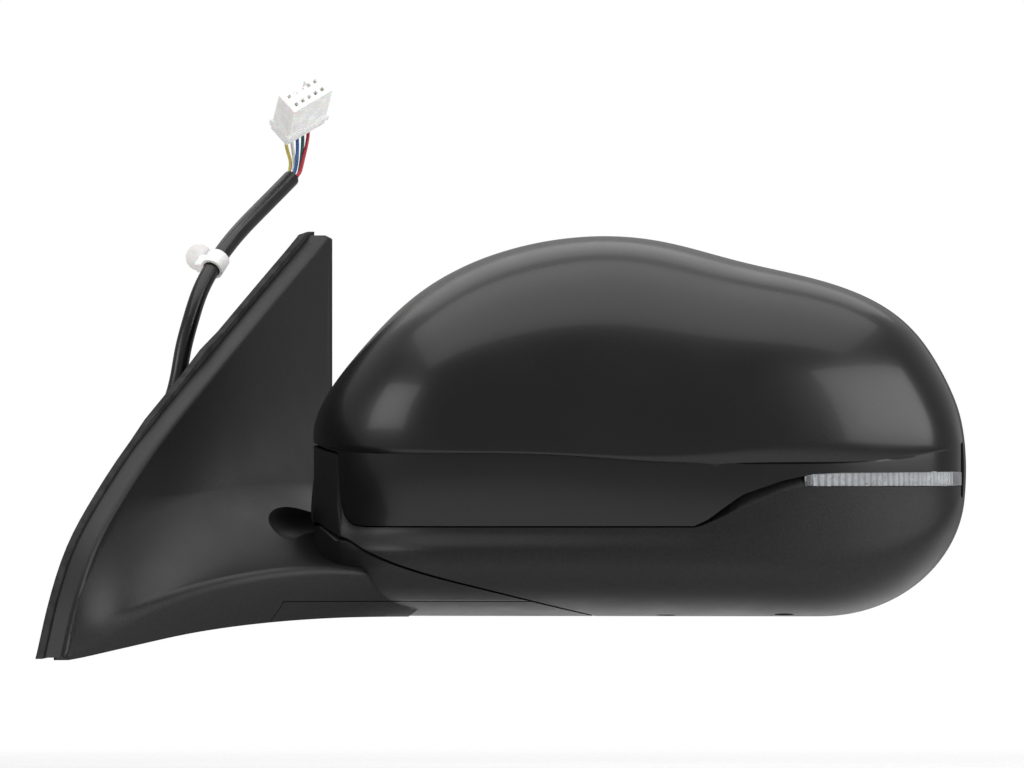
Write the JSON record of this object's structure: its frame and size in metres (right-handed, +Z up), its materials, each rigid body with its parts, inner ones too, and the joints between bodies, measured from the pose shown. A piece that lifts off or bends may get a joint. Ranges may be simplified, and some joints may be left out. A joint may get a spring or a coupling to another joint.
{
  "type": "car side mirror",
  "caption": "Folding left-hand car door mirror: gloss cap over a matte shell, swept arm, corner sail, tilting glass, slim turn signal and wired connector.",
  "frame": {"origin": "axis of the lower rear stud, on the face that meets the door", "axes": "+X away from the door, +Y to the rear of the car, +Z up"},
  "size_m": [0.3164, 0.2601, 0.2265],
  "materials": {
    "grained_black": "fine moulded grain",
    "gloss_black": "high gloss",
    "cast_bracket": "die cast",
    "foam": "closed cell foam",
    "plated_steel": "zinc plated",
    "rubber": "matte",
    "sleeve": "smooth sleeving, slightly glossy",
    "wires": "five coloured wires",
    "white_plastic": "natural white",
    "terminals": "tinned",
    "post_steel": "machined",
    "spring_steel": "spring steel",
    "inner_plastic": "moulded",
    "motor": "drawn can",
    "heater": "printed film",
    "mirror": "silvered glass",
    "clear_lens": "clear polycarbonate",
    "silvering": "metallised",
    "board": "circuit board"
  },
  "bodies": {
    "base": {"sail_cover": "grained_black", "arm_under_cover": "grained_black", "mount_bracket": "cast_bracket", "door_gasket": "foam", "door_studs": "plated_steel", "cover_clip_screws": "plated_steel", "harness_grommet": "rubber", "harness_sleeve": "sleeve", "harness_wires": "wires", "harness_connector": "white_plastic", "connector_terminals": "terminals", "harness_clip": "white_plastic", "arm_lead": "sleeve", "pivot_post": "post_steel", "lower_detent_ring": "post_steel", "pivot_spring": "spring_steel", "spring_retainer": "plated_steel"},
    "head": {"upper_cap": "gloss_black", "lower_cover": "grained_black", "pivot_skirt": "grained_black", "glass_bezel": "grained_black", "head_frame": "inner_plastic", "upper_detent_ring": "post_steel", "head_lead": "sleeve", "turn_signal_lens": "clear_lens", "turn_signal_reflector": "silvering", "turn_signal_board": "board", "actuator_base": "inner_plastic", "actuator_cover": "inner_plastic", "vertical_tilt_motor": "motor", "horizontal_tilt_motor": "motor", "cover_screws": "plated_steel", "actuator_screws": "plated_steel"},
    "gimbal": {"gimbal_ring": "white_plastic"},
    "glass": {"glass_holder": "inner_plastic", "heater_pad": "heater", "mirror_glass": "mirror"},
    "vertical_screw": {"vertical_jackscrew": "white_plastic"},
    "horizontal_screw": {"horizontal_jackscrew": "white_plastic"}
  },
  "joints": [
    {"name": "head_fold", "type": "hinge", "parent": "base", "child": "head", "pos_m": [0.064, -0.022, 0], "axis": [0, 0, 1], "range_deg": [-30, 50]},
    {"name": "glass_tilt_vertical", "type": "hinge", "parent": "head", "child": "gimbal", "pos_m": [0.16138, 0.03792, 0.033], "axis": [0.9397, 0.342, 0], "range_deg": [-7, 7]},
    {"name": "glass_tilt_horizontal", "type": "hinge", "parent": "gimbal", "child": "glass", "pos_m": [0.16138, 0.03792, 0.033], "axis": [0, 0, 1], "range_deg": [-7, 7]},
    {"name": "vertical_screw_slide", "type": "slide", "parent": "head", "child": "vertical_screw", "axis": [-0.342, 0.9397, 0], "range_m": [-0.0036, 0.0036]},
    {"name": "horizontal_screw_slide", "type": "slide", "parent": "head", "child": "horizontal_screw", "axis": [-0.342, 0.9397, 0], "range_m": [-0.0036, 0.0036]}
  ],
  "couplings": [
    {"joint": "vertical_screw_slide", "follows": "glass_tilt_vertical", "m_per_rad": -0.028},
    {"joint": "horizontal_screw_slide", "follows": "glass_tilt_horizontal", "m_per_rad": 0.028}
  ]
}
